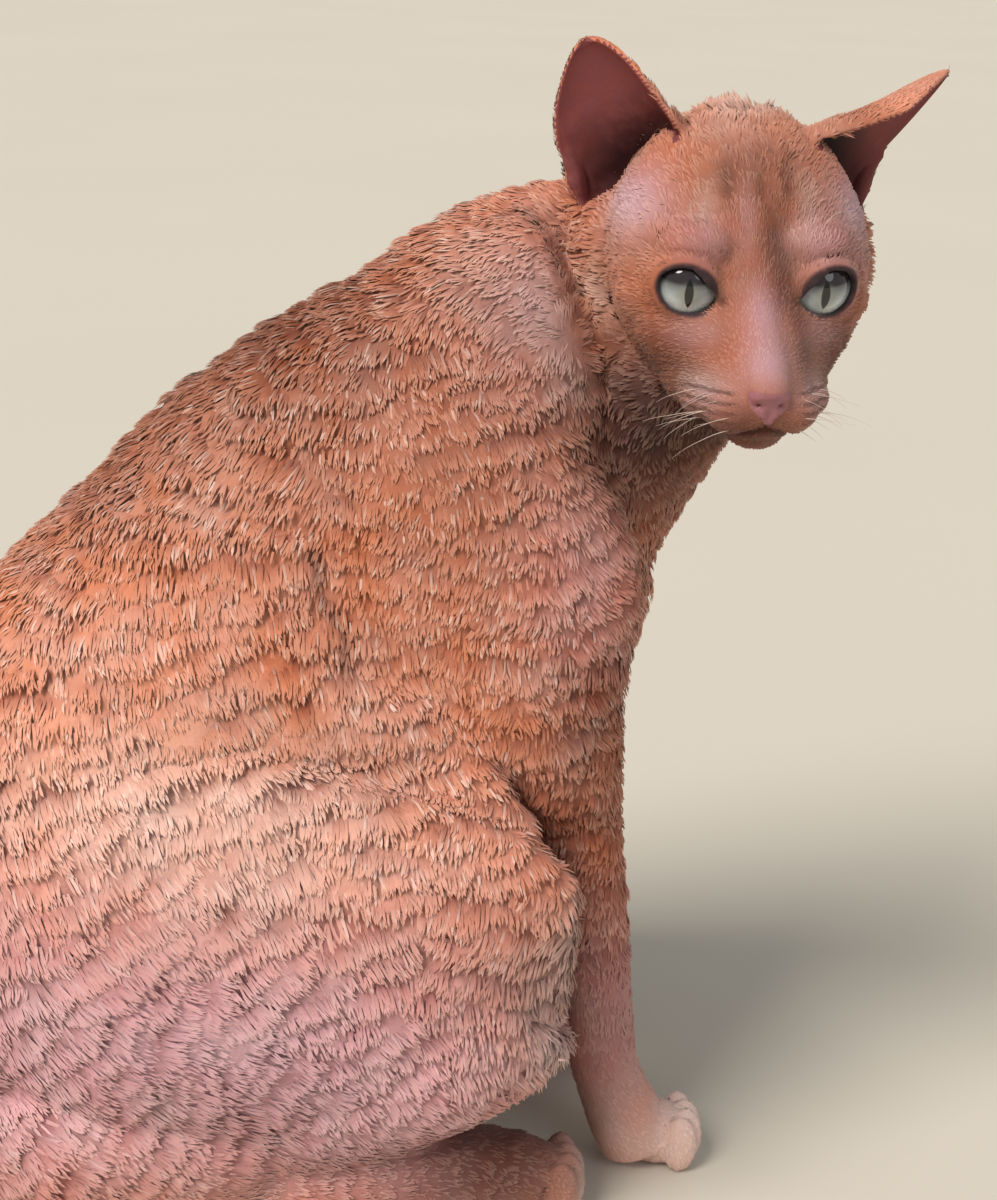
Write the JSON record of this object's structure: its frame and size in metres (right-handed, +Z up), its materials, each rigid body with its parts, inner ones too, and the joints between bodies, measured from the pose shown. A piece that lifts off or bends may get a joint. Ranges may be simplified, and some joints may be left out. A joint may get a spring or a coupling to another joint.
{
  "type": "seated devon rex cat model",
  "caption": "Life-size still model of a seated curly-coated cat that turns its head to its right, divided into head, ears, eyes, neck, torso, legs, paws and tail.",
  "frame": {"origin": "bottom centre of the whole model's box, on the floor", "axes": "+Z up, the cat's body faces -Y and its left side is +X; its head looks to -X"},
  "size_m": [0.209, 0.4002, 0.3578],
  "materials": {
    "coat": "short curled salmon-red tabby fur",
    "face_fur": "very short pale red fur over pink skin",
    "ear_skin": "bare pink-brown skin inside, down behind",
    "paw_fur": "cream short fur",
    "eye": "glossy grey-green cat's eye"
  },
  "bodies": {
    "root": {"torso": "coat", "neck": "coat", "head": "face_fur", "ear_left": "ear_skin", "ear_right": "ear_skin", "eye_left": "eye", "eye_right": "eye", "foreleg_left": "coat", "foreleg_right": "coat", "hindleg_left": "coat", "hindleg_right": "coat", "forepaw_left": "paw_fur", "forepaw_right": "paw_fur", "hindpaw_left": "paw_fur", "hindpaw_right": "paw_fur", "tail_base": "coat", "tail_middle": "coat", "tail_tip": "coat"}
  },
  "joints": []
}
